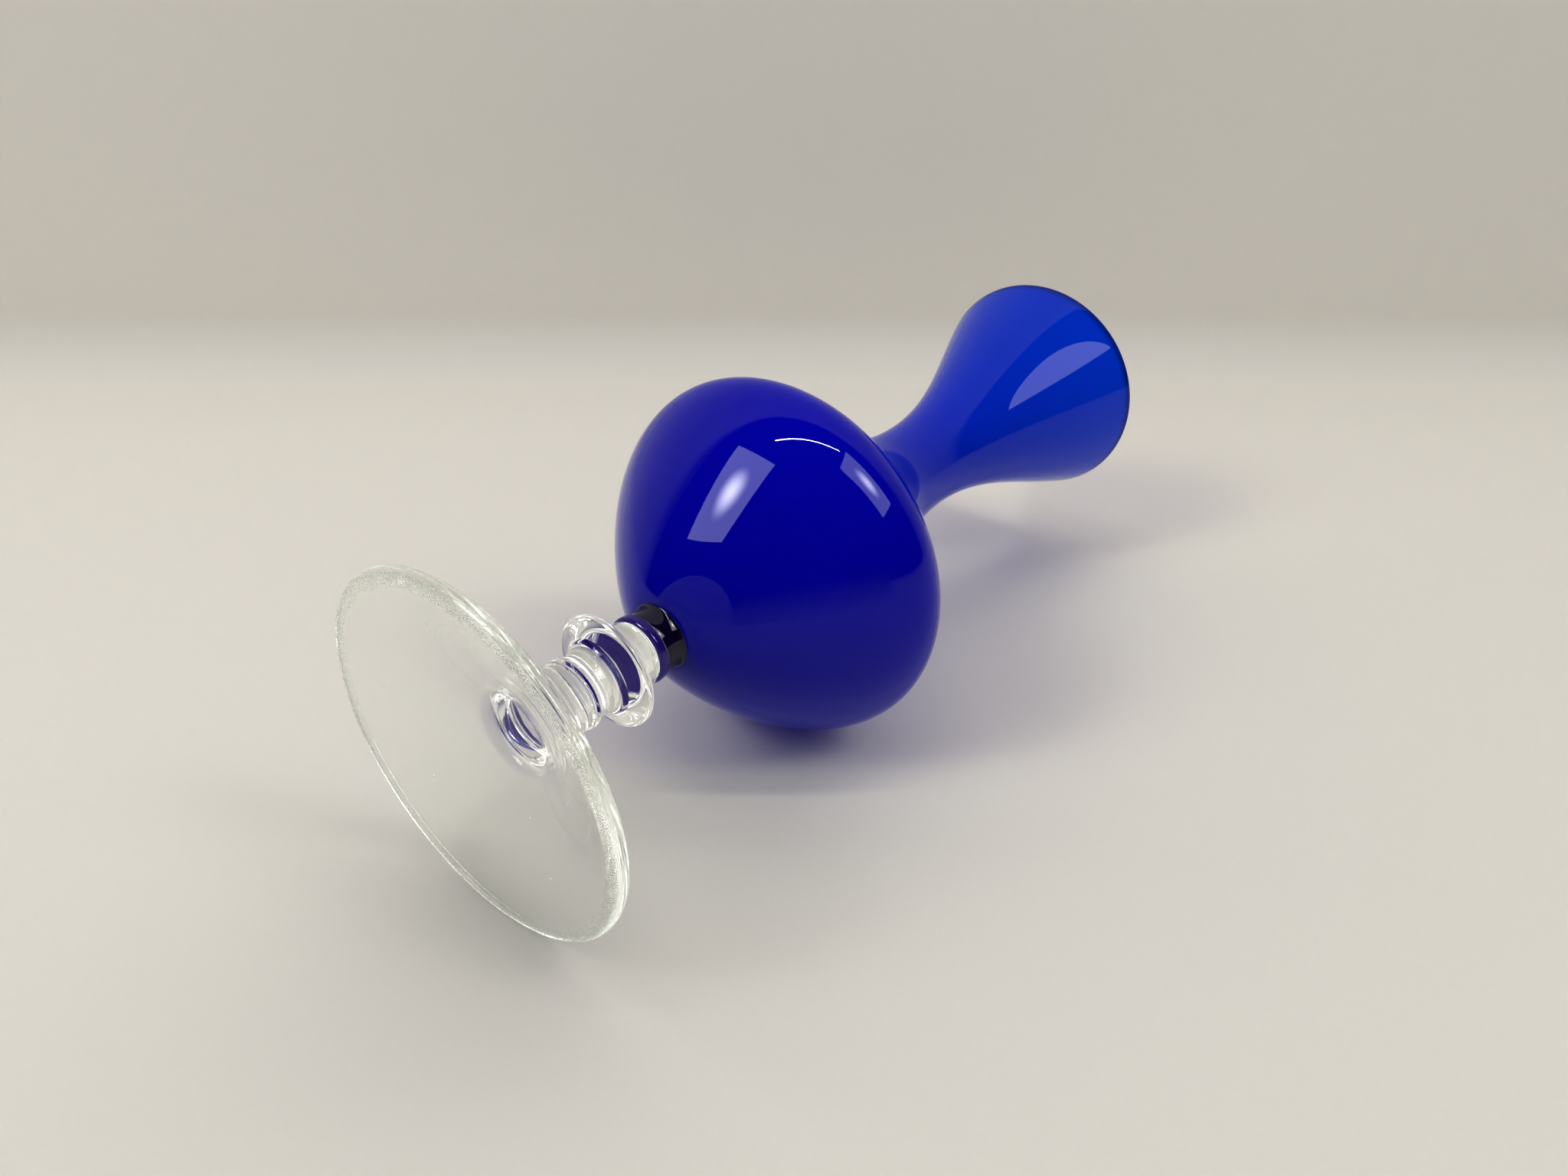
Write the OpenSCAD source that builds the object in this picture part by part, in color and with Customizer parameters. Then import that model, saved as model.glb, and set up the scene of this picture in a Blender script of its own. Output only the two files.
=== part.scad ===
// Footed vase of cased cobalt glass on a clear glass stem.
// Everything is turned about the Z axis. The origin is the centre of the ring
// on which the foot stands, and the mouth is at the top.
// Outlines are lists of [radius, height] points, in millimetres.

/* [Overall] */
// Height from the standing ring to the top of the lip
total_h = 242.7; // [238:0.1:260]
// Widest diameter of the foot
foot_d = 91.2; // [80:0.2:110]

/* [Body] */
// Widest diameter of the bulb
bulb_d = 99.6; // [80:0.2:120]
// Height of the widest place of the bulb
bulb_z = 102.2; // [96:0.2:108]
// Outside diameter of the neck at its narrowest
neck_d = 26.9; // [22:0.1:34]
// Height of the narrowest place of the neck
neck_z = 168.2; // [158:0.2:176]
// Outside diameter of the mouth
mouth_d = 69.4; // [50:0.2:84]
// Angle at which the trumpet opens at the lip, from upright, in degrees
flare_angle = 20; // [12:1:26]
// Angle at which the bulb leaves the stem, from upright, in degrees
seat_angle = 80; // [70:1:82]
// Thickness of the cobalt glass
overlay_t = 1.3; // [0.8:0.1:1.6]
// Thickness of the white opal glass inside it
lining_t = 1.3; // [0.8:0.1:1.6]

/* [Foot] */
// Thickness of the foot at its rim
foot_t = 3.6; // [3.2:0.1:5]
// Radius of the rounded rim edges
foot_edge = 1.5; // [0.8:0.1:1.6]
// Height of the hollow under the foot at its centre
dome_h = 12.5; // [8:0.5:13]
// Radius of the polished circle under the foot
polish_r = 10.8; // [8:0.2:12]
// Depth of that circle at its centre
polish_depth = 0.4; // [0.2:0.1:2]

/* [Stem] */
// Radius of the lower post
lower_r = 8.6; // [7.6:0.1:9]
// Radius of the upper post
upper_r = 8; // [7:0.1:8.4]
// Outside radius of the thin thread
thread_r = 9; // [8.8:0.1:10]
// Outside radius of the merese, the large ring of the stem
merese_r = 14.8; // [13.6:0.1:16]
// Radius of the rounded edge of the merese
merese_edge = 1.1; // [0.8:0.1:1.3]
// Outside radius of the collar under the cobalt tip
collar_r = 8.9; // [8.6:0.1:9.4]

/* [Hidden] */

round_fn = 128;
curve_steps = 16;
arc_steps = 8;

// Heights at which one piece of the stem ends and the next begins
base_z = 16.2;
lower_z = 21;
thread_z = 28.9;
middle_z = 31.3;
merese_z = 37.7;
upper_z = 42.5;
collar_z = 50.2;
tip_z = 53;
body_z = 58.6;

// The foot: where it stands, and the slopes of its two faces in degrees
foot_r = foot_d / 2;
stand_in = foot_r - 3.4;
base_r = 12.6;
rim_slope = 14;
centre_slope = 27;
rim_pull = 13;
centre_pull = 10;

// The stem
fire_edge = 0.5;
post_edge = 0.9;
thread_low_edge = 0.4;
thread_high_edge = 1.2;
flare_r = 10.3;
merese_mid_z = 40.8;
hill_r = 12.4;
collar_edge = 0.9;
tip_r = 8.2;
body_seat_r = 8.8;

// The body
bulb_r = bulb_d / 2;
neck_r = neck_d / 2;
mouth_r = mouth_d / 2;
wall_t = overlay_t + lining_t;
rim_z = total_h - wall_t / 2 * (1 + sin(flare_angle));
lip_turn = 1.6;
floor_flat = 0.75;
belly = bulb_z - body_z;
shoulder = neck_z - bulb_z;
trumpet = rim_z - neck_z;
// How far each stretch of the outline keeps its starting direction, as a part
// of its height, chosen so that the curvature runs on through every join
seat_pull = 0.19;
belly_pull = 0.37;
shoulder_pull = 0.257;
neck_pull = 0.686;
flare_pull = 0.357;

clear_glass = [0.86, 0.9, 0.88, 0.45];
cobalt_glass = [0.02, 0.03, 0.6];
dark_cobalt = [0.03, 0.02, 0.12];
opal_glass = [0.93, 0.94, 0.95];

// A step along a line that leans away from upright by an angle
function lean(a, length) = [sin(a), cos(a)] * length;
// A step along a line that rises from level by an angle
function rise(a, length) = [cos(a), sin(a)] * length;
// A point on a cubic curve with four control points
function on_curve(c, t) =
    pow(1 - t, 3) * c[0] + 3 * pow(1 - t, 2) * t * c[1]
    + 3 * (1 - t) * t * t * c[2] + pow(t, 3) * c[3];
// The direction of the curve there
function along(c, t) =
    let(d = pow(1 - t, 2) * (c[1] - c[0]) + 2 * (1 - t) * t * (c[2] - c[1])
            + t * t * (c[3] - c[2]))
    d / norm(d);
// The point that lies a depth inside a curve that is drawn upwards
function inside(c, t, depth) =
    let(d = along(c, t)) on_curve(c, t) + depth * [-d[1], d[0]];
// Points along one curve, its first point left out
function traced(c, depth = 0, last = 1) =
    [for (i = [1:curve_steps]) inside(c, last * i / curve_steps, depth)];
// Points on a round edge, from one angle to another
function arc(centre, radius, from, to) =
    [for (i = [0:arc_steps]) centre + rise(from + (to - from) * i / arc_steps, radius)];
function reversed(list) = [for (i = [len(list) - 1:-1:0]) list[i]];

// The outside of the body: bulb from the seat to its widest place, shoulder up
// to the neck, trumpet from the neck to the rim
belly_curve = [
    [body_seat_r, body_z],
    [body_seat_r, body_z] + lean(seat_angle, seat_pull * belly),
    [bulb_r, bulb_z - belly_pull * belly],
    [bulb_r, bulb_z]
];
shoulder_curve = [
    [bulb_r, bulb_z],
    [bulb_r, bulb_z + shoulder_pull * shoulder],
    [neck_r, neck_z - neck_pull * shoulder],
    [neck_r, neck_z]
];
trumpet_curve = [
    [neck_r, neck_z],
    [neck_r, neck_z + flare_pull * trumpet],
    [mouth_r, rim_z] - lean(flare_angle, flare_pull * trumpet),
    [mouth_r, rim_z]
];
// How far along the trumpet the lining reaches before the lip turns over it
lining_end = 1 - lip_turn / (3 * flare_pull * trumpet);

// A side of the wall, from the seat up to the given place on the trumpet
function wall_side(depth, last) = concat(
    [inside(belly_curve, 0, depth)],
    traced(belly_curve, depth),
    traced(shoulder_curve, depth),
    traced(trumpet_curve, depth, last)
);
// The rounded floor of the hollow at a depth, from the axis out to the wall
function floor_side(depth) =
    let(edge = inside(belly_curve, 0, depth),
        bend = floor_flat * edge[0],
        low = edge[1] - (edge[0] - bend) / tan(seat_angle))
    [for (i = [0:arc_steps - 1])
        let(t = i / arc_steps)
        2 * (1 - t) * t * [bend, low] + t * t * edge + pow(1 - t, 2) * [0, low]];

module turned(outline, tint) {
    color(tint) rotate_extrude($fn = round_fn) polygon(outline);
}

// Domed disc that the vase stands on, with a polished circle under its centre
module foot() {
    polish_sphere = (polish_r * polish_r + polish_depth * polish_depth) / (2 * polish_depth);
    polish_angle = asin(polish_r / polish_sphere);
    polish_centre = [0, dome_h + polish_depth - polish_sphere];
    under_curve = [
        [polish_r, dome_h],
        [polish_r, dome_h] + rise(-centre_slope, centre_pull),
        [stand_in, 0] - rise(-rim_slope, rim_pull),
        [stand_in, 0]
    ];
    rim_top = [foot_r - foot_edge, foot_t];
    upper_curve = [
        rim_top,
        rim_top + rise(180 - rim_slope, rim_pull),
        [base_r, base_z] + rise(-centre_slope, centre_pull),
        [base_r, base_z]
    ];
    turned(concat(
        arc(polish_centre, polish_sphere, 90, 90 - polish_angle),
        traced(under_curve),
        arc([foot_r - foot_edge, foot_edge], foot_edge, -90, 0),
        arc([foot_r - foot_edge, foot_t - foot_edge], foot_edge, 0, 90),
        traced(upper_curve),
        [[0, base_z]]
    ), clear_glass);
}

// Flared root where the lower post spreads on to the foot
module stem_base() {
    root_curve = [
        [base_r, base_z],
        [base_r, base_z] + rise(180 - centre_slope, 2.6),
        [lower_r, lower_z - 3],
        [lower_r, lower_z]
    ];
    turned(concat(
        [[0, base_z], [base_r, base_z]],
        traced(root_curve),
        [[0, lower_z]]
    ), clear_glass);
}

// Plain post below the thread, with its top edge fire-rounded
module lower_post() {
    turned(concat(
        [[0, lower_z], [lower_r, lower_z]],
        arc([lower_r - post_edge, thread_z - post_edge], post_edge, 0, 90),
        [[0, thread_z]]
    ), clear_glass);
}

// Thin thread of glass laid between two posts, crisp below and round above
module thread_ring() {
    low_r = thread_r - thread_low_edge;
    high_r = thread_r - thread_high_edge;
    turned(concat(
        [[0, thread_z]],
        arc([low_r, thread_z + thread_low_edge], thread_low_edge, -90, 0),
        arc([high_r, middle_z - thread_high_edge], thread_high_edge, 0, 90),
        [[0, middle_z]]
    ), clear_glass);
}

// Post between the thread and the merese, flaring into the merese
module middle_post() {
    post_r = upper_r + 0.1;
    flare_curve = [
        [post_r, middle_z + fire_edge],
        [post_r, middle_z + 3.4],
        [post_r + 0.5, merese_z - 1],
        [flare_r, merese_z]
    ];
    turned(concat(
        [[0, middle_z]],
        arc([post_r - fire_edge, middle_z + fire_edge], fire_edge, -90, 0),
        traced(flare_curve),
        [[0, merese_z]]
    ), clear_glass);
}

// Large ring of the stem: a disc with two shallow cones and a thin round edge
module merese() {
    turned(concat(
        [[0, merese_z], [flare_r, merese_z]],
        arc([merese_r - merese_edge, merese_mid_z], merese_edge, -62, 68),
        [[hill_r, upper_z], [0, upper_z]]
    ), clear_glass);
}

// Short post between the merese and the collar, spreading on to the merese
module upper_post() {
    root_curve = [
        [hill_r, upper_z],
        [hill_r - 2.3, upper_z + 0.9],
        [upper_r, upper_z + 1.2],
        [upper_r, upper_z + 4.2]
    ];
    turned(concat(
        [[0, upper_z], root_curve[0]],
        traced(root_curve),
        [[upper_r, collar_z], [0, collar_z]]
    ), clear_glass);
}

// Small clear ring where the stem takes the cobalt tip
module collar() {
    edge_r = collar_r - collar_edge;
    turned(concat(
        [[0, collar_z]],
        arc([edge_r, collar_z + collar_edge], collar_edge, -90, 0),
        arc([edge_r, tip_z - collar_edge], collar_edge, 0, 90),
        [[0, tip_z]]
    ), clear_glass);
}

// Solid end of the cobalt gather, so thick that it looks black
module cobalt_tip() {
    tip_curve = [
        [tip_r - fire_edge, tip_z],
        [tip_r + 0.1, tip_z + 0.6],
        [body_seat_r, body_z] - lean(seat_angle, 1),
        [body_seat_r, body_z]
    ];
    turned(concat(
        [[0, tip_z], tip_curve[0]],
        traced(tip_curve),
        [[0, body_z]]
    ), dark_cobalt);
}

// Cobalt outer layer of bulb, neck and trumpet, with the lip that turns over
// the end of the lining
module cobalt_body() {
    out_dir = lean(flare_angle, wall_t / 2);
    across = [-out_dir[1], out_dir[0]];
    lip_centre = [mouth_r, rim_z] + across;
    lip = [for (i = [1:arc_steps])
        let(a = 180 * i / arc_steps)
        lip_centre - across * cos(a) + out_dir * sin(a)];
    turned(concat(
        [[0, body_z]],
        wall_side(0, 1),
        lip,
        [inside(trumpet_curve, lining_end, wall_t)],
        reversed(wall_side(overlay_t, lining_end)),
        reversed(floor_side(overlay_t))
    ), cobalt_glass);
}

// White opal layer inside the cobalt, closed at the bottom of the bulb
module opal_lining() {
    turned(concat(
        floor_side(overlay_t),
        wall_side(overlay_t, lining_end),
        reversed(wall_side(wall_t, lining_end)),
        reversed(floor_side(wall_t))
    ), opal_glass);
}

foot();
stem_base();
lower_post();
thread_ring();
middle_post();
merese();
upper_post();
collar();
cobalt_tip();
cobalt_body();
opal_lining();
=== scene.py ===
"""Looks for a footed vase of cased cobalt glass, lying on its side on a pale sweep.

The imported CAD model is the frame: the vase stands upright along +Z with its foot at the origin.
It is shown lying down, so the camera, the sweep and the lamps are turned about the vase, and the
vase stays where the CAD put it. Everything is in metres, and colours are linear (r, g, b).
"""

import math

import bmesh
import bpy
from mathutils import Matrix, Vector


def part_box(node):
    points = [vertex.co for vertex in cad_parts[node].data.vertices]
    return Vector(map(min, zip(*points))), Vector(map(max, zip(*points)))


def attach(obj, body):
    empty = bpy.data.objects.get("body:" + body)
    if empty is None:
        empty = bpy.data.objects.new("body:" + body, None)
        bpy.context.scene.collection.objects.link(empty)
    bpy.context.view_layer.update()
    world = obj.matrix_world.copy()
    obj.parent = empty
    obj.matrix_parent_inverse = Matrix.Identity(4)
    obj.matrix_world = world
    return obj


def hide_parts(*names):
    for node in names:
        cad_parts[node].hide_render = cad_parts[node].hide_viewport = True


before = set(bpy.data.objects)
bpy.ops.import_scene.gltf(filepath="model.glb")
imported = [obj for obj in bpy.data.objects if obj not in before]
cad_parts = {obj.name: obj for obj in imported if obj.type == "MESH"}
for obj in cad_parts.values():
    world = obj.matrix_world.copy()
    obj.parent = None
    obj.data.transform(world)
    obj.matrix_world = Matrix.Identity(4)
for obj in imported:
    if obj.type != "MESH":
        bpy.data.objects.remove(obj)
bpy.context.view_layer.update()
BODY = "root"

# ---------------------------------------------------------------- sizes

MM = 0.001
SEGMENTS = 160          # turns of every lathe
CURVE_STEPS = 36        # points on each cubic curve
ARC_STEPS = 16          # points on each round edge
ON_AXIS = 1e-9          # a ring of a smaller radius is a single point
SHARP_ANGLE = math.radians(40)
WELD_GAP = 0.005 * MM   # between two pieces of glass that are fused


def top_of(node):
    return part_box(node)[1].z


def radius_of(node):
    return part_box(node)[1].x


FOOT_R = radius_of("foot")
FOOT_T = 3.6 * MM
FOOT_EDGE = 1.5 * MM
STAND_IN = FOOT_R - 3.4 * MM
DOME_H = 12.5 * MM
POLISH_R = 10.8 * MM
POLISH_DEPTH = 0.4 * MM
RIM_SLOPE, CENTRE_SLOPE = math.radians(14), math.radians(27)
RIM_PULL, CENTRE_PULL = 13 * MM, 10 * MM
FIRE_EDGE = 0.5 * MM
MERESE_EDGE = 1.1 * MM
MERESE_DROP = 1.7 * MM    # of the middle of its edge below its upper face
MERESE_TURN = -62, 68     # degrees round its edge, from its lower to its upper face
COLLAR_EDGE = 0.9 * MM
POST_EDGE = 0.9 * MM
THREAD_LOW_EDGE, THREAD_HIGH_EDGE = 0.4 * MM, 1.2 * MM
UPPER_R = 8.0 * MM
MIDDLE_R = UPPER_R + 0.1 * MM
TIP_R = 8.2 * MM

# How far the inner control points of the stem's curves lie from the ends of the curves
ROOT_PULL, ROOT_RISE = 2.6 * MM, 3 * MM
FLARE_RISE, FLARE_DROP, FLARE_OUT = 3.4 * MM, 1 * MM, 0.5 * MM
FILLET_IN, FILLET_LIFT, FILLET_RISE, FILLET_TOP = 2.3 * MM, 0.9 * MM, 1.2 * MM, 4.2 * MM
TIP_OUT, TIP_RISE, TIP_FALL = 0.1 * MM, 0.6 * MM, 1 * MM

BASE_Z = top_of("foot")
LOWER_Z = top_of("stem_base")
THREAD_Z = top_of("lower_post")
MIDDLE_Z = top_of("thread_ring")
MERESE_Z = top_of("middle_post")
UPPER_Z = top_of("merese")
COLLAR_Z = top_of("upper_post")
TIP_Z = top_of("collar")
BODY_Z = top_of("cobalt_tip")
TOTAL_H = top_of("cobalt_body")

BULB_R = radius_of("cobalt_body")
BULB_Z = 102.2 * MM
NECK_R, NECK_Z = 13.45 * MM, 168.2 * MM
MOUTH_R = 34.7 * MM
SEAT_R = radius_of("cobalt_tip")
OVERLAY_T = 1.3 * MM
WALL_T = 2.6 * MM
FLARE_ANGLE, SEAT_ANGLE = math.radians(20), math.radians(80)
LIP_TURN = 1.6 * MM
FLOOR_FLAT = 0.75
# How far each stretch of the body keeps its starting direction, as a part of its height
SEAT_PULL, BELLY_PULL, SHOULDER_PULL, NECK_PULL, FLARE_PULL = 0.19, 0.37, 0.257, 0.686, 0.357

# Small bubbles in the foot, as (x, y, z, radius) in millimetres
SEEDS = ((-24, 20, 6.2, 0.3), (-33, -4, 4.6, 0.28), (17, 27, 5.4, 0.22), (28, -14, 5.6, 0.25),
         (-9, -31, 5.3, 0.2), (6, 19, 9.6, 0.24), (36, 10, 3.2, 0.2))

# ---------------------------------------------------------------- the glass

GLASS_IOR = 1.5
JOINT_IOR = 1.08        # of the clear stem against the cobalt it is fused to
COBALT_SHINE = 0.28     # as a specular level, where 0.5 is full
RIM_ROUGHNESS = 0.07
SCRATCH_ROUGHNESS = 0.35
SCRATCH_TOP = 0.6 * MM  # height up to which the foot is scratched
RIM_FROM, RIM_TO = FOOT_R - 3 * MM, FOOT_R - 0.6 * MM         # where the foot turns softer
THIN_AND_LIT_FROM, THIN_AND_LIT_TO = BULB_Z + 10 * MM, TOTAL_H - 10 * MM      # where the cobalt turns thinner and is painted lighter, as painted light shining through the wall
BLACK_FROM, BLACK_TO = TIP_Z + 0.02 * MM, TIP_Z + 0.3 * MM    # where the painted blue glow at the cobalt's end gives way to its own black

CLEAR_TINTS = (0.955, 0.975, 0.955), (0.985, 0.99, 0.98)
RIM_TINT = (0.88, 0.91, 0.86)
CLEAR_SHADE, CLEAR_EDGE_SHADE = (0.97, 0.975, 0.97), (0.50, 0.52, 0.51)
JOINT_TINTS = (0.97, 0.98, 0.97), (0.99, 0.99, 0.99)
BULB_BLUE, TRUMPET_BLUE_THIN_AND_LIT = (0.0012, 0.0008, 0.27), (0.001, 0.034, 0.41)
LIP_BLUE = (0.0005, 0.014, 0.15)
COBALT_SHADE = (0.60, 0.58, 0.785)
SOLID_BLACKS = (0.0022, 0.0014, 0.012), (0.004, 0.0025, 0.022)
# Painted light: the blue that light coming down through the solid cobalt gives its end and lowest
# edge
SOLID_EDGE_GLOW_BLUE = (0.022, 0.012, 0.30)
END_GLOW_BLUES = (0.06, 0.018, 0.44), (0.07, 0.022, 0.50)
OPAL_WHITES = (0.80, 0.83, 0.88), (0.92, 0.92, 0.90)
OPAL_SHADE = (0.70, 0.69, 0.87)


# ---------------------------------------------------------------- outlines, as [radius, height]


def point(r, z):
    return Vector((r, z))


def rise(angle, length):
    """A step along a line that rises from level by an angle."""
    return Vector((math.cos(angle), math.sin(angle))) * length


def lean(angle, length):
    """A step along a line that leans away from upright by an angle."""
    return Vector((math.sin(angle), math.cos(angle))) * length


def on_curve(c, t, depth=0.0):
    """The point that lies a depth inside a cubic curve that is drawn upwards."""
    u = 1 - t
    at = u ** 3 * c[0] + 3 * u * u * t * c[1] + 3 * u * t * t * c[2] + t ** 3 * c[3]
    way = (u * u * (c[1] - c[0]) + 2 * u * t * (c[2] - c[1]) + t * t * (c[3] - c[2])).normalized()
    return at + depth * Vector((-way.y, way.x))


def traced(c, depth=0.0, last=1.0):
    """Points along a curve, its first point left out."""
    return [on_curve(c, last * i / CURVE_STEPS, depth) for i in range(1, CURVE_STEPS + 1)]


def arc(centre, radius, start, end):
    """Points on a round edge, from one angle to another, in degrees."""
    turn = [math.radians(start + (end - start) * i / ARC_STEPS) for i in range(ARC_STEPS + 1)]
    return [centre + rise(a, radius) for a in turn]


# ---------------------------------------------------------------- meshes


def add_object(name, data):
    piece = bpy.data.objects.new(name, data)
    bpy.context.scene.collection.objects.link(piece)
    return piece


def lathe(name, outline, materials, material_from=None, ring_values=None):
    """Turns an outline that starts and ends on the axis about Z, into a closed smooth mesh.
    material_from says which material the faces that leave a ring have, if not the first.
    ring_values is one number for each ring."""
    material_from = material_from or {}
    bm = bmesh.new()
    value = bm.verts.layers.float.new("backing")
    rings = []
    for i, at in enumerate(outline):
        ring = []
        for k in range(1 if at.x < ON_AXIS else SEGMENTS):
            a = 2 * math.pi * k / SEGMENTS
            v = bm.verts.new((at.x * math.cos(a), at.x * math.sin(a), at.y))
            v[value] = ring_values[i] if ring_values else 1.0
            ring.append(v)
        rings.append(ring)
    for i, (low, high) in enumerate(zip(rings, rings[1:])):
        for k in range(SEGMENTS):
            n = (k + 1) % SEGMENTS
            if len(low) == 1:
                face = bm.faces.new((low[0], high[n], high[k]))
            elif len(high) == 1:
                face = bm.faces.new((low[k], low[n], high[0]))
            else:
                face = bm.faces.new((low[k], low[n], high[n], high[k]))
            face.smooth = True
            face.material_index = material_from.get(i, 0)
    bmesh.ops.recalc_face_normals(bm, faces=bm.faces)
    mesh = bpy.data.meshes.new(name)
    bm.to_mesh(mesh)
    bm.free()
    mesh.set_sharp_from_angle(angle=SHARP_ANGLE)
    for m in materials:
        mesh.materials.append(m)
    return add_object(name, mesh)


def add_seeds(piece, seeds):
    """Puts small round bubbles inside a glass piece."""
    bm = bmesh.new()
    bm.from_mesh(piece.data)
    for x, y, z, r in seeds:
        made = bmesh.ops.create_icosphere(
            bm, subdivisions=2, radius=r * MM, matrix=Matrix.Translation(Vector((x, y, z)) * MM)
        )
        faces = {f for v in made["verts"] for f in v.link_faces}
        for f in faces:
            f.smooth = True
        bmesh.ops.reverse_faces(bm, faces=list(faces))
    bm.to_mesh(piece.data)
    bm.free()


# ---------------------------------------------------------------- materials


class Nodes:
    """Short names for building a material's node tree."""

    def __init__(self, name):
        self.material = bpy.data.materials.new(name)
        self.material.use_nodes = True
        self.tree = self.material.node_tree
        self.tree.nodes.clear()
        self.output = self.new("ShaderNodeOutputMaterial")

    def new(self, kind, **values):
        node = self.tree.nodes.new(kind)
        for key, value in values.items():
            setattr(node, key, value)
        return node

    def link(self, source, target):
        self.tree.links.new(source, target)

    def place(self):
        """The point on the piece, in metres."""
        return self.new("ShaderNodeTexCoord").outputs["Object"]

    def height(self):
        parts = self.new("ShaderNodeSeparateXYZ")
        self.link(self.place(), parts.inputs[0])
        return parts.outputs["Z"]

    def along(self, direction):
        """How far the point lies along a direction, in metres."""
        node = self.new("ShaderNodeVectorMath", operation="DOT_PRODUCT")
        node.inputs[1].default_value = direction
        self.link(self.place(), node.inputs[0])
        return node.outputs["Value"]

    def from_axis(self):
        """The point's distance from the axis of the vase, in metres."""
        flat = self.new("ShaderNodeVectorMath", operation="MULTIPLY")
        flat.inputs[1].default_value = (1, 1, 0)
        self.link(self.place(), flat.inputs[0])
        length = self.new("ShaderNodeVectorMath", operation="LENGTH")
        self.link(flat.outputs[0], length.inputs[0])
        return length.outputs["Value"]

    def noise(self, scale, detail=2.0, stretch=(1, 1, 1)):
        """Noise whose features are about 1/scale metres across."""
        mapping = self.new("ShaderNodeMapping")
        mapping.inputs["Scale"].default_value = stretch
        self.link(self.place(), mapping.inputs["Vector"])
        node = self.new("ShaderNodeTexNoise")
        node.inputs["Scale"].default_value = scale
        node.inputs["Detail"].default_value = detail
        self.link(mapping.outputs[0], node.inputs["Vector"])
        return node.outputs["Fac"]

    def span(self, source, from_low, from_high, to_low, to_high):
        """A straight-line change of range, held at its ends."""
        node = self.new("ShaderNodeMapRange")
        for key, value in zip(("From Min", "From Max", "To Min", "To Max"),
                              (from_low, from_high, to_low, to_high)):
            node.inputs[key].default_value = value
        self.link(source, node.inputs["Value"])
        return node.outputs["Result"]

    def math(self, operation, a, b):
        node = self.new("ShaderNodeMath", operation=operation)
        for socket, value in zip(node.inputs, (a, b)):
            if isinstance(value, (int, float)):
                socket.default_value = value
            else:
                self.link(value, socket)
        return node.outputs[0]

    def mix(self, factor, a, b):
        """A colour between two, each an (r, g, b) or a socket."""
        node = self.new("ShaderNodeMix", data_type="RGBA")
        self.link(factor, node.inputs["Factor"])
        for socket, value in zip((node.inputs[6], node.inputs[7]), (a, b)):
            if isinstance(value, tuple):
                socket.default_value = (*value, 1)
            else:
                self.link(value, socket)
        return node.outputs[2]

    def scaled(self, colour, factor):
        node = self.new("ShaderNodeVectorMath", operation="SCALE")
        self.link(colour, node.inputs[0])
        self.link(factor, node.inputs["Scale"])
        return node.outputs[0]

    def bump(self, height, distance, strength):
        node = self.new("ShaderNodeBump")
        node.inputs["Strength"].default_value = strength
        node.inputs["Distance"].default_value = distance
        self.link(height, node.inputs["Height"])
        return node.outputs["Normal"]

    def surface(self, shader):
        self.link(shader, self.output.inputs["Surface"])

    def surface_either(self, choice, shader, other):
        """The surface from one shader, or from another where the choice is 1."""
        either = self.new("ShaderNodeMixShader")
        for source, socket in zip((choice, shader, other), either.inputs):
            self.link(source, socket)
        self.surface(either.outputs[0])

    def clear_to_lamps(self, shader, colour):
        """The surface from a shader that lets lamps shine through in a colour."""
        through = self.new("ShaderNodeBsdfTransparent")
        if isinstance(colour, tuple):
            through.inputs["Color"].default_value = (*colour, 1)
        else:
            self.link(colour, through.inputs["Color"])
        path = self.new("ShaderNodeLightPath")
        self.surface_either(path.outputs["Is Shadow Ray"], shader, through.outputs[0])

    def principled(self, **values):
        node = self.new("ShaderNodeBsdfPrincipled")
        for key, value in values.items():
            node.inputs[key.replace("_", " ")].default_value = value
        return node


def clear_glass(name, worn=False):
    """Clear soda glass: faint grey-green and softly waved. Lamps shine through it, more weakly
    where it is seen edge on. The foot is worn: scratched where it stands, and a little softer
    and greener at its rim."""
    n = Nodes(name)
    wave = n.noise(90, detail=1.0)
    tint = n.mix(n.noise(60), *CLEAR_TINTS)
    glass = n.principled(Transmission_Weight=1.0, IOR=GLASS_IOR)
    rough = n.span(n.noise(400), 0.4, 0.7, 0.0, 0.012)
    if worn:
        grain = n.noise(2500, detail=3.0, stretch=(1, 1, 0.2))
        scratches = n.span(grain, 0.45, 0.62, 0.0, SCRATCH_ROUGHNESS)
        at_ring = n.span(n.height(), 0.0, SCRATCH_TOP, 1.0, 0.0)
        rough = n.math("ADD", rough, n.math("MULTIPLY", scratches, at_ring))
        rim = n.span(n.from_axis(), RIM_FROM, RIM_TO, 0.0, 1.0)
        rough = n.math("ADD", rough, n.math("MULTIPLY", rim, RIM_ROUGHNESS))
        tint = n.mix(rim, tint, RIM_TINT)
    n.link(tint, glass.inputs["Base Color"])
    n.link(rough, glass.inputs["Roughness"])
    n.link(n.bump(wave, 0.05 * MM, 0.04), glass.inputs["Normal"])
    edge = n.new("ShaderNodeLayerWeight")
    edge.inputs["Blend"].default_value = 0.35
    shade = n.mix(edge.outputs["Facing"], CLEAR_SHADE, CLEAR_EDGE_SHADE)
    n.clear_to_lamps(glass.outputs[0], shade)
    return n.material


def fused_face(name):
    """The inner face between two fused pieces of glass, which nobody can see."""
    n = Nodes(name)
    through = n.new("ShaderNodeBsdfTransparent")
    n.surface(through.outputs[0])
    return n.material


def joint_face(name):
    """The joint of the clear stem with the cobalt above it. The two glasses bend light a little
    differently, so the joint mirrors light that skims it."""
    n = Nodes(name)
    film = n.principled(Transmission_Weight=1.0, IOR=JOINT_IOR, Roughness=0.0)
    n.link(n.mix(n.noise(60), *JOINT_TINTS), film.inputs["Base Color"])
    n.clear_to_lamps(film.outputs[0], (1.0, 1.0, 1.0))
    return n.material


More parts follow.
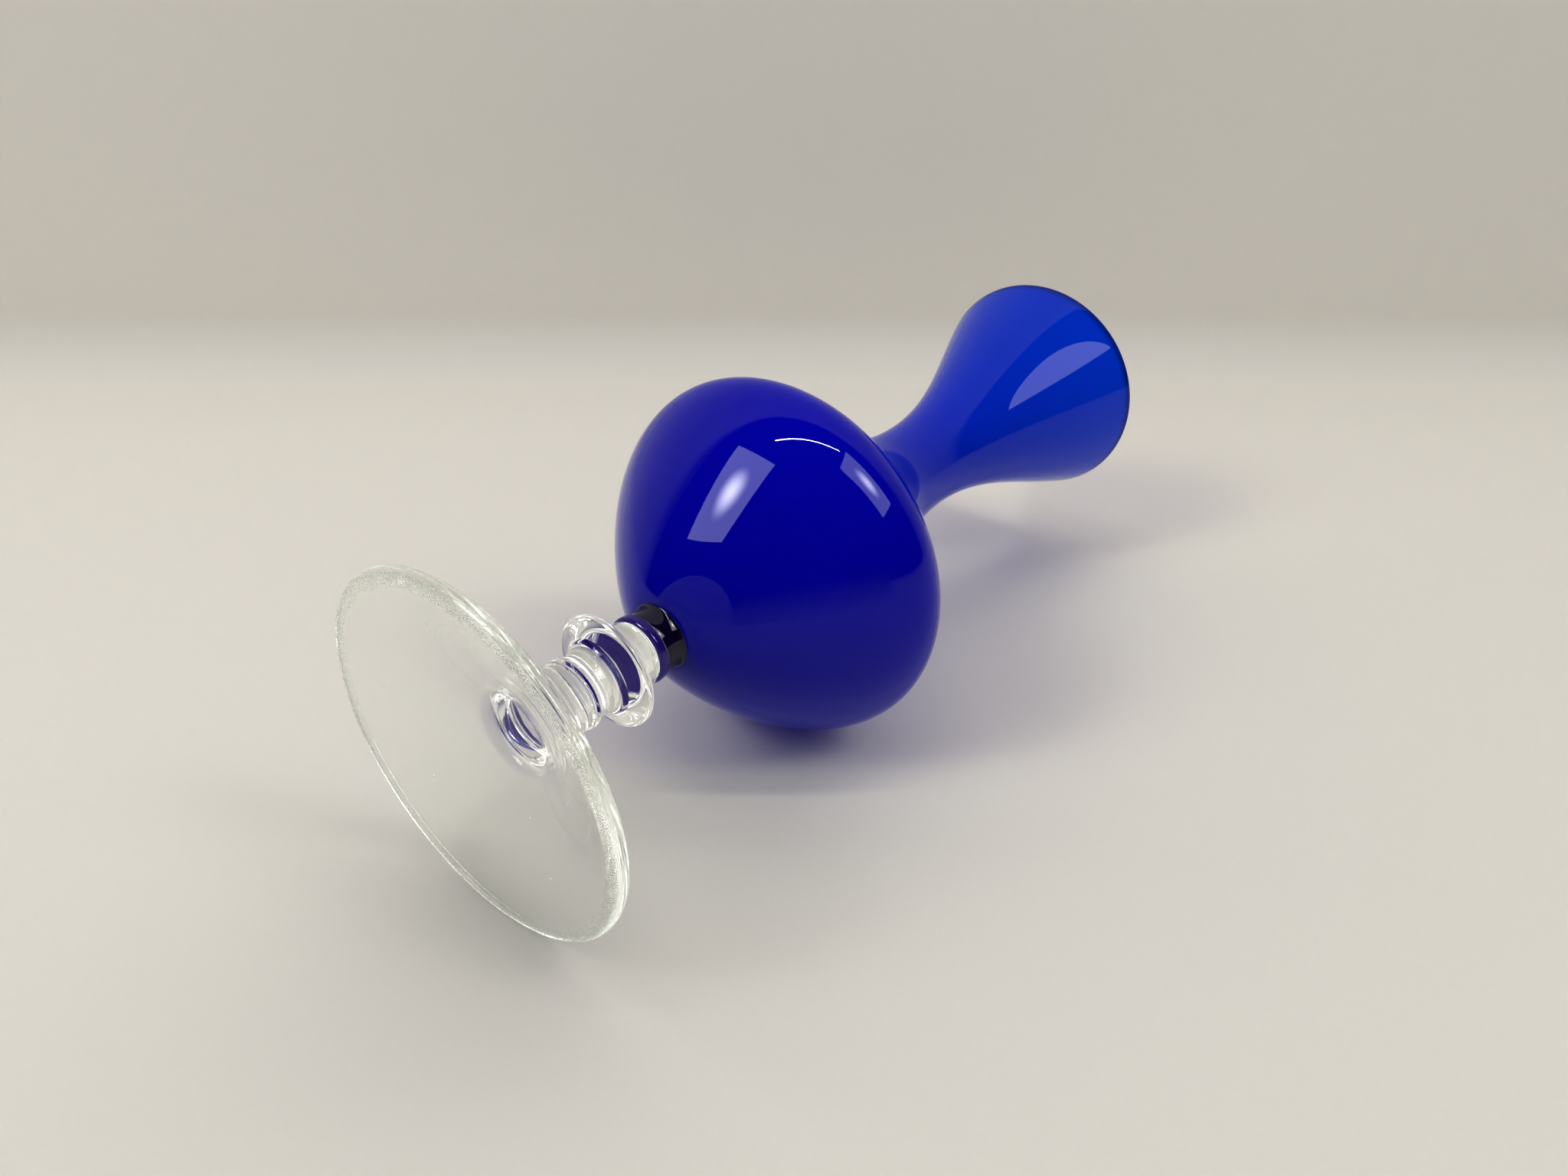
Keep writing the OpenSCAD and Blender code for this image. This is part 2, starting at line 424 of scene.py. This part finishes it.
def cobalt_body_glass(name):
    """Cobalt over white: even deep blue, and dark at the lip where no white is behind it. Up the
    trumpet it is lighter, partly as it is blown thin and partly as painted light through its
    wall."""
    n = Nodes(name)
    # Lighter up the trumpet: thinner cobalt, and painted light shining through the wall
    thin = n.span(n.height(), THIN_AND_LIT_FROM, THIN_AND_LIT_TO, 0.0, 1.0)
    deep = n.mix(thin, BULB_BLUE, TRUMPET_BLUE_THIN_AND_LIT)
    streak = n.span(n.noise(14, detail=3.0, stretch=(1, 1, 0.35)), 0.3, 0.7, 0.86, 1.08)
    backing = n.new("ShaderNodeAttribute", attribute_name="backing")
    colour = n.mix(backing.outputs["Fac"], LIP_BLUE, n.scaled(deep, streak))
    glass = n.principled(IOR=GLASS_IOR, Specular_IOR_Level=COBALT_SHINE)
    n.link(colour, glass.inputs["Base Color"])
    n.link(n.span(n.noise(300), 0.35, 0.7, 0.006, 0.018), glass.inputs["Roughness"])
    n.link(n.bump(n.noise(28, detail=1.0), 0.12 * MM, 0.5), glass.inputs["Normal"])
    n.clear_to_lamps(glass.outputs[0], COBALT_SHADE)
    return n.material


def dark_cobalt_glass(name):
    """Solid cobalt, black from the side; its flat end shows blue through the clear stem. Its
    lowest edge is painted blue too, as painted light that comes down through the cobalt.
    """
    n = Nodes(name)
    above_end = n.span(n.height(), BLACK_FROM, BLACK_TO, 0.0, 1.0)
    colour = n.mix(above_end, SOLID_EDGE_GLOW_BLUE, n.mix(n.noise(120), *SOLID_BLACKS))
    glass = n.principled(IOR=GLASS_IOR)
    n.link(colour, glass.inputs["Base Color"])
    n.link(n.span(n.noise(300), 0.35, 0.7, 0.01, 0.03), glass.inputs["Roughness"])
    n.link(n.bump(n.noise(120, detail=1.0), 0.05 * MM, 0.5), glass.inputs["Normal"])
    n.surface(glass.outputs[0])
    return n.material


def tip_end_glow(name):
    """The flat end of the cobalt, fused to clear glass, so it has no shine of its own. Its blue
    is painted light that comes down through the cobalt from the white lining above.
    """
    n = Nodes(name)
    glass = n.principled(Specular_IOR_Level=0.0, Roughness=1.0)
    n.link(n.mix(n.noise(120), *END_GLOW_BLUES), glass.inputs["Base Color"])
    n.surface(glass.outputs[0])
    return n.material


def opal_glass(name):
    """White opal glass, a little uneven in thickness, glossy where it is touched."""
    n = Nodes(name)
    cloud = n.mix(n.noise(35, detail=3.0), *OPAL_WHITES)
    glass = n.principled(IOR=GLASS_IOR, Subsurface_Weight=0.35, Subsurface_Scale=1.2 * MM)
    n.link(cloud, glass.inputs["Base Color"])
    n.link(n.span(n.noise(250), 0.35, 0.7, 0.05, 0.12), glass.inputs["Roughness"])
    n.link(n.bump(n.noise(60, detail=1.0), 0.05 * MM, 0.5), glass.inputs["Normal"])
    n.clear_to_lamps(glass.outputs[0], OPAL_SHADE)
    return n.material


# ---------------------------------------------------------------- the pieces

WELD = fused_face("fused_face")
JOINT = joint_face("joint_face")
CLEAR = clear_glass("clear_glass")
FOOT_GLASS = clear_glass("clear_foot_glass", worn=True)


def stand_in(piece, node):
    """Makes a piece the look of a CAD node."""
    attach(piece, BODY)
    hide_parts(node)


def stem_piece(node, outline, glass=None, weld_low=True, upper_face=None):
    """A solid clear piece between two fused faces. The outline runs from the axis, out along the
    lower face, up the side, and back to the axis along the upper face."""
    gap = Vector((0, WELD_GAP))
    low = outline[:2]
    if weld_low:
        low = [at + gap for at in low]
    high = [at - gap for at in outline[-2:]]
    # The lower face leaves the first ring, and the upper face leaves the last but one
    face_materials = {len(outline) - 2: 2}
    if weld_low:
        face_materials[0] = 1
    piece = lathe(node + "_glass", low + outline[2:-2] + high,
                  [glass or CLEAR, WELD, upper_face or WELD], face_materials)
    stand_in(piece, node)
    return piece


def make_foot():
    ball_r = (POLISH_R ** 2 + POLISH_DEPTH ** 2) / (2 * POLISH_DEPTH)
    half = math.degrees(math.asin(POLISH_R / ball_r))
    edge_r = FOOT_R - FOOT_EDGE
    under = [
        point(POLISH_R, DOME_H),
        point(POLISH_R, DOME_H) + rise(-CENTRE_SLOPE, CENTRE_PULL),
        point(STAND_IN, 0) - rise(-RIM_SLOPE, RIM_PULL),
        point(STAND_IN, 0),
    ]
    base_r = radius_of("stem_base")
    upper = [
        point(edge_r, FOOT_T),
        point(edge_r, FOOT_T) + rise(math.pi - RIM_SLOPE, RIM_PULL),
        point(base_r, BASE_Z) + rise(-CENTRE_SLOPE, CENTRE_PULL),
        point(base_r, BASE_Z),
    ]
    outline = (
        arc(point(0, DOME_H + POLISH_DEPTH - ball_r), ball_r, 90, 90 - half)
        + traced(under)
        + arc(point(edge_r, FOOT_EDGE), FOOT_EDGE, -90, 0)
        + arc(point(edge_r, FOOT_T - FOOT_EDGE), FOOT_EDGE, 0, 90)[1:]
        + traced(upper)
        + [point(0, BASE_Z)]
    )
    outline[0].x = 0
    foot = stem_piece("foot", outline, glass=FOOT_GLASS, weld_low=False)
    add_seeds(foot, SEEDS)


def make_stem():
    base_r, lower_r = radius_of("stem_base"), radius_of("lower_post")
    root = [
        point(base_r, BASE_Z),
        point(base_r, BASE_Z) + rise(math.pi - CENTRE_SLOPE, ROOT_PULL),
        point(lower_r, LOWER_Z - ROOT_RISE),
        point(lower_r, LOWER_Z),
    ]
    stem_piece("stem_base", [point(0, BASE_Z), point(base_r, BASE_Z)] + traced(root)
               + [point(0, LOWER_Z)])

    stem_piece("lower_post", [point(0, LOWER_Z), point(lower_r, LOWER_Z)]
               + arc(point(lower_r - POST_EDGE, THREAD_Z - POST_EDGE), POST_EDGE, 0, 90)
               + [point(0, THREAD_Z)])

    thread_r = radius_of("thread_ring")
    low_centre = point(thread_r - THREAD_LOW_EDGE, THREAD_Z + THREAD_LOW_EDGE)
    high_centre = point(thread_r - THREAD_HIGH_EDGE, MIDDLE_Z - THREAD_HIGH_EDGE)
    stem_piece("thread_ring", [point(0, THREAD_Z)]
               + arc(low_centre, THREAD_LOW_EDGE, -90, 0)
               + arc(high_centre, THREAD_HIGH_EDGE, 0, 90)
               + [point(0, MIDDLE_Z)])

    flare = [
        point(MIDDLE_R, MIDDLE_Z + FIRE_EDGE),
        point(MIDDLE_R, MIDDLE_Z + FLARE_RISE),
        point(MIDDLE_R + FLARE_OUT, MERESE_Z - FLARE_DROP),
        point(radius_of("middle_post"), MERESE_Z),
    ]
    stem_piece("middle_post", [point(0, MIDDLE_Z)]
               + arc(point(MIDDLE_R - FIRE_EDGE, MIDDLE_Z + FIRE_EDGE), FIRE_EDGE, -90, 0)
               + traced(flare) + [point(0, MERESE_Z)])

    edge_at = point(radius_of("merese") - MERESE_EDGE, UPPER_Z - MERESE_DROP)
    stem_piece("merese", [point(0, MERESE_Z), point(radius_of("middle_post"), MERESE_Z)]
               + arc(edge_at, MERESE_EDGE, *MERESE_TURN)
               + [point(radius_of("upper_post"), UPPER_Z), point(0, UPPER_Z)])

    inner = radius_of("collar") - COLLAR_EDGE
    stem_piece("collar", [point(0, COLLAR_Z)]
               + arc(point(inner, COLLAR_Z + COLLAR_EDGE), COLLAR_EDGE, -90, 0)
               + arc(point(inner, TIP_Z - COLLAR_EDGE), COLLAR_EDGE, 0, 90)
               + [point(0, TIP_Z)])

    fillet = [
        point(radius_of("upper_post"), UPPER_Z),
        point(radius_of("upper_post") - FILLET_IN, UPPER_Z + FILLET_LIFT),
        point(UPPER_R, UPPER_Z + FILLET_RISE),
        point(UPPER_R, UPPER_Z + FILLET_TOP),
    ]
    stem_piece("upper_post", [point(0, UPPER_Z), fillet[0]] + traced(fillet)
               + [point(UPPER_R, COLLAR_Z), point(0, COLLAR_Z)], upper_face=JOINT)


def make_tip():
    side = [
        point(TIP_R - FIRE_EDGE, TIP_Z),
        point(TIP_R + TIP_OUT, TIP_Z + TIP_RISE),
        point(SEAT_R, BODY_Z) - lean(SEAT_ANGLE, TIP_FALL),
        point(SEAT_R, BODY_Z),
    ]
    outline = [point(0, TIP_Z), side[0]] + traced(side) + [point(0, BODY_Z)]
    materials = [dark_cobalt_glass("dark_cobalt"), tip_end_glow("cobalt_end_glow")]
    stand_in(lathe("cobalt_tip_glass", outline, materials, {0: 1}), "cobalt_tip")


RIM_Z = TOTAL_H - WALL_T / 2 * (1 + math.sin(FLARE_ANGLE))
BELLY, SHOULDER, TRUMPET = BULB_Z - BODY_Z, NECK_Z - BULB_Z, RIM_Z - NECK_Z
LINING_END = 1 - LIP_TURN / (3 * FLARE_PULL * TRUMPET)
BODY_CURVES = (
    [point(SEAT_R, BODY_Z),
     point(SEAT_R, BODY_Z) + lean(SEAT_ANGLE, SEAT_PULL * BELLY),
     point(BULB_R, BULB_Z - BELLY_PULL * BELLY),
     point(BULB_R, BULB_Z)],
    [point(BULB_R, BULB_Z),
     point(BULB_R, BULB_Z + SHOULDER_PULL * SHOULDER),
     point(NECK_R, NECK_Z - NECK_PULL * SHOULDER),
     point(NECK_R, NECK_Z)],
    [point(NECK_R, NECK_Z),
     point(NECK_R, NECK_Z + FLARE_PULL * TRUMPET),
     point(MOUTH_R, RIM_Z) - lean(FLARE_ANGLE, FLARE_PULL * TRUMPET),
     point(MOUTH_R, RIM_Z)],
)


def wall_side(depth, last):
    """A side of the wall, from the seat up to the given place on the trumpet."""
    belly, shoulder, trumpet = BODY_CURVES
    return ([on_curve(belly, 0, depth)] + traced(belly, depth) + traced(shoulder, depth)
            + traced(trumpet, depth, last))


def floor_side(depth):
    """The rounded floor of the hollow at a depth, from the axis out to the wall."""
    edge = on_curve(BODY_CURVES[0], 0, depth)
    bend = FLOOR_FLAT * edge.x
    low = edge.y - (edge.x - bend) / math.tan(SEAT_ANGLE)
    steps = [i / ARC_STEPS for i in range(ARC_STEPS)]
    return [(1 - t) ** 2 * point(0, low) + 2 * (1 - t) * t * point(bend, low) + t * t * edge
            for t in steps]


def make_body():
    out = lean(FLARE_ANGLE, WALL_T / 2)
    across = Vector((-out.y, out.x))
    centre = point(MOUTH_R, RIM_Z) + across
    turns = [math.pi * i / ARC_STEPS for i in range(1, ARC_STEPS + 1)]
    lip = [centre - across * math.cos(a) + out * math.sin(a) for a in turns]
    outside = wall_side(0, 1)
    turned_in = [on_curve(BODY_CURVES[2], LINING_END, WALL_T)]
    inside = wall_side(OVERLAY_T, LINING_END)[::-1]
    base = floor_side(OVERLAY_T)[::-1]
    outline = [point(0, BODY_Z)] + outside + lip + turned_in + inside + base
    backed = [1.0 if at.y < RIM_Z - 0.5 * LIP_TURN else 0.0 for at in outline]
    body = lathe("cobalt_body_glass", outline, [cobalt_body_glass("cobalt_glass")],
                 ring_values=backed)
    stand_in(body, "cobalt_body")


def make_lining():
    outline = (floor_side(OVERLAY_T) + wall_side(OVERLAY_T, LINING_END)
               + wall_side(WALL_T, LINING_END)[::-1] + floor_side(WALL_T)[::-1])
    lining = lathe("opal_lining_glass", outline, [opal_glass("opal_glass")])
    stand_in(lining, "opal_lining")


make_foot()
make_stem()
make_tip()
make_body()
make_lining()

# ---------------------------------------------------------------- the studio

# The vase lies on the rim of its foot and on its bulb, with +Y downwards
TILT = math.atan2(BULB_R - FOOT_R, BULB_Z - FOOT_T / 2)
UP = Vector((0, -math.cos(TILT), math.sin(TILT)))
REST_POINT = Vector((0, BULB_R * math.cos(TILT), BULB_Z - BULB_R * math.sin(TILT)))

CAMERA_AIM = Vector((5.5, 5.4, 99.2)) * MM
CAMERA_AZIMUTH, CAMERA_ELEVATION = math.radians(44.47), math.radians(-39.78)
CAMERA_DISTANCE = 311.7 * MM
LENS, SENSOR = 27.07, 36.0    # in millimetres
CLIP_START, CLIP_END = 0.01, 20
VIEW_GAMMA = 0.8
BOUNCES, CLEAR_BOUNCES = 100, 48

PAPER_TONES = (0.458, 0.443, 0.415), (0.474, 0.459, 0.431)
FLOOR_NEAR, WALL_AT, WALL_TOP = -1.4, 0.275, 1.5
SWEEP_BEND, SWEEP_HALF_WIDTH, SWEEP_STEPS = 0.025, 2.4, 32
PAINTED_SHADE_FROM, PAINTED_SHADE_TO = 0.19, 0.27    # where painted shade makes the paper darker, behind the bulb
WALL_PAINTED_SHADE = 0.96                 # painted shade of the paper past there, as a part of its tone
FLOOR_FILL = 2.0                 # how many times its own tone it lights the vase

CLOTH_TONES = (0.008, 0.008, 0.009), (0.012, 0.012, 0.014)
# Painted light: the figure turns paler towards the floor, standing in for the lit floor at its
# foot
CLOTH_FOOT_PAINTED_LIGHT = (0.5, 0.485, 0.46)
FIGURE_ROWS, FIGURE_HALF_WIDTH, FIGURE_FADE = ((-0.265, 0.0), (-0.34, 1.3)), 0.24, 0.085

LAMP_AIM_UP = 0.06
HOT_SIZE = 0.32    # of a lamp's brighter middle, as a part of its width and height
ROOM_TONE = (0.62, 0.60, 0.55, 1)
TONE_BY_RAY = {
    "Is Glossy Ray": (0.01, 0.01, 0.012, 1),
    "Is Diffuse Ray": (0.27, 0.27, 0.265, 1),
    "Is Transmission Ray": ROOM_TONE,
}

BACK = Vector((math.sin(CAMERA_AZIMUTH) * math.cos(CAMERA_ELEVATION),
               -math.cos(CAMERA_AZIMUTH) * math.cos(CAMERA_ELEVATION),
               math.sin(CAMERA_ELEVATION)))
RIGHT = UP.cross(BACK).normalized()
AWAY = UP.cross(RIGHT)


def studio(right, away, up):
    """A place in the studio, from the point where the bulb rests, as the camera sees it."""
    return REST_POINT + right * RIGHT + away * AWAY + up * UP


def facing(place, toward, up):
    """A matrix at a place, with -Z towards a point, as cameras and lamps have it."""
    z = (place - toward).normalized()
    x = up.cross(z).normalized()
    y = z.cross(x)
    return Matrix.Translation(place) @ Matrix((x, y, z)).transposed().to_4x4()


def make_camera():
    data = bpy.data.cameras.new("camera")
    data.lens, data.sensor_width = LENS, SENSOR
    data.clip_start, data.clip_end = CLIP_START, CLIP_END
    camera = add_object("camera", data)
    camera.matrix_world = facing(CAMERA_AIM + BACK * CAMERA_DISTANCE, CAMERA_AIM, UP)
    bpy.context.scene.camera = camera


def stage_sheet(name, rows, material, across):
    """A stage surface through rows of (away, up), as wide as the two values of across."""
    bm = bmesh.new()
    lines = [[bm.verts.new(studio(side, away, up)) for side in across] for away, up in rows]
    for low, high in zip(lines, lines[1:]):
        bm.faces.new((low[0], low[1], high[1], high[0])).smooth = True
    mesh = bpy.data.meshes.new(name)
    bm.to_mesh(mesh)
    bm.free()
    mesh.materials.append(material)
    sheet = add_object(name, mesh)
    return sheet


def paper():
    """Pale warm paper with a faint grain, painted a little darker where it hangs as painted
    shade, that lights the vase more than it shows. It is only there from its front, so that a
    camera behind it still sees the vase."""
    n = Nodes("paper")
    sheet = n.principled(Roughness=0.9, Specular_IOR_Level=0.1)
    grain = n.mix(n.noise(900, detail=3.0), *PAPER_TONES)
    start = REST_POINT.dot(AWAY)
    # Painted shade: the paper is made darker up the wall, where less light falls on it
    painted_shade = n.span(n.along(AWAY), start + PAINTED_SHADE_FROM, start + PAINTED_SHADE_TO, 1.0, WALL_PAINTED_SHADE)
    path = n.new("ShaderNodeLightPath")
    fill = n.span(path.outputs["Is Diffuse Ray"], 0, 1, 1.0, FLOOR_FILL)
    n.link(n.scaled(grain, n.math("MULTIPLY", painted_shade, fill)), sheet.inputs["Base Color"])
    through = n.new("ShaderNodeBsdfTransparent")
    side = n.new("ShaderNodeNewGeometry")
    n.surface_either(side.outputs["Backfacing"], sheet.outputs[0], through.outputs[0])
    return n.material


def make_sweep():
    """A paper sweep: a floor that curves up into a wall."""
    turn = [math.pi / 2 * i / SWEEP_STEPS for i in range(SWEEP_STEPS + 1)]
    bend_start = WALL_AT - SWEEP_BEND
    bend = [(bend_start + SWEEP_BEND * math.sin(a), SWEEP_BEND * (1 - math.cos(a))) for a in turn]
    stage_sheet("sweep", [(FLOOR_NEAR, 0)] + bend + [(WALL_AT, WALL_TOP)], paper(),
                (-SWEEP_HALF_WIDTH, SWEEP_HALF_WIDTH))


def make_photographer():
    """A dark figure behind the camera, which only reflections show. Towards the floor it is
    painted paler, as painted light of the lit floor, so that its edge is soft.
    """
    n = Nodes("dark_cloth")
    cloth = n.principled(Roughness=1.0, Specular_IOR_Level=0.0)
    dark = n.mix(n.noise(60), *CLOTH_TONES)
    floor_level = REST_POINT.dot(UP)
    above_floor = n.span(n.along(UP), floor_level, floor_level + FIGURE_FADE, 0.0, 1.0)
    # Painted light of the lit floor at the foot of the figure, fading into its dark cloth
    n.link(n.mix(above_floor, CLOTH_FOOT_PAINTED_LIGHT, dark), cloth.inputs["Base Color"])
    n.surface(cloth.outputs[0])
    figure = stage_sheet("photographer", FIGURE_ROWS, n.material,
                         (-FIGURE_HALF_WIDTH, FIGURE_HALF_WIDTH))
    figure.visible_camera = False
    figure.visible_diffuse = False
    figure.visible_transmission = False
    figure.visible_shadow = False


def add_hot_middle(data, hot):
    """Makes the middle of a flat lamp brighter than its edge, by hot times."""
    data.use_nodes = True
    tree = data.node_tree
    where = tree.nodes.new("ShaderNodeNewGeometry")
    from_middle = tree.nodes.new("ShaderNodeVectorMath")
    from_middle.operation = "DISTANCE"
    from_middle.inputs[1].default_value = (0.5, 0.5, 0)
    level = tree.nodes.new("ShaderNodeMapRange")
    level.interpolation_type = "SMOOTHSTEP"
    for key, value in zip(("From Min", "From Max", "To Min", "To Max"),
                          (0, HOT_SIZE, 1 + hot, 1)):
        level.inputs[key].default_value = value
    tree.links.new(where.outputs["Parametric"], from_middle.inputs[0])
    tree.links.new(from_middle.outputs["Value"], level.inputs["Value"])
    tree.links.new(level.outputs["Result"], tree.nodes["Emission"].inputs["Strength"])


def softbox(name, centre, width, height, roll, radiance, hot=0.0):
    """A flat lamp that faces the vase, turned by a roll in degrees. Its radiance is that of its
    edge."""
    data = bpy.data.lights.new(name, "AREA")
    data.shape = "RECTANGLE"
    data.size, data.size_y = width, height
    data.energy = math.pi * width * height * radiance
    light = add_object(name, data)
    light.matrix_world = (facing(centre, REST_POINT + LAMP_AIM_UP * UP, UP)
                          @ Matrix.Rotation(math.radians(roll), 4, "Z"))
    if hot:
        add_hot_middle(data, hot)


def make_lamps():
    """Two softboxes high on either side, and a thin tube overhead."""
    softbox("left_softbox", studio(right=-0.958, away=-0.49, up=1.17),
            width=0.69, height=0.80, roll=13, radiance=5.8, hot=5.2)
    softbox("right_softbox", studio(right=0.882, away=-0.464, up=1.210),
            width=0.56, height=0.95, roll=6, radiance=4.6, hot=4.6)
    softbox("tube", studio(right=0.0, away=-0.19, up=1.62),
            width=1.07, height=0.020, roll=0, radiance=90)


def make_world():
    """A dim room in every reflection, a pale one through glass and past the sweep, and some
    light from all round for the shadows."""
    world = bpy.data.worlds.new("room")
    bpy.context.scene.world = world
    world.use_nodes = True
    tree = world.node_tree
    tree.nodes.clear()
    output = tree.nodes.new("ShaderNodeOutputWorld")
    light = tree.nodes.new("ShaderNodeBackground")
    path = tree.nodes.new("ShaderNodeLightPath")
    room = tree.nodes.new("ShaderNodeRGB")
    room.outputs[0].default_value = ROOM_TONE
    tone_so_far = room.outputs[0]
    for kind, tone in TONE_BY_RAY.items():
        choice = tree.nodes.new("ShaderNodeMix")
        choice.data_type = "RGBA"
        choice.inputs[7].default_value = tone
        tree.links.new(path.outputs[kind], choice.inputs["Factor"])
        tree.links.new(tone_so_far, choice.inputs[6])
        tone_so_far = choice.outputs[2]
    tree.links.new(tone_so_far, light.inputs["Color"])
    tree.links.new(light.outputs[0], output.inputs["Surface"])


make_camera()
make_sweep()
make_photographer()
make_lamps()
make_world()

scene = bpy.context.scene
scene.view_settings.view_transform = "Standard"
scene.view_settings.gamma = VIEW_GAMMA
# Light bounces many times along the inside of the foot before it leaves at the rim
scene.cycles.max_bounces = BOUNCES
scene.cycles.transmission_bounces = BOUNCES
scene.cycles.glossy_bounces = BOUNCES
scene.cycles.transparent_max_bounces = CLEAR_BOUNCES
scene.cycles.caustics_refractive = False
scene.cycles.caustics_reflective = False
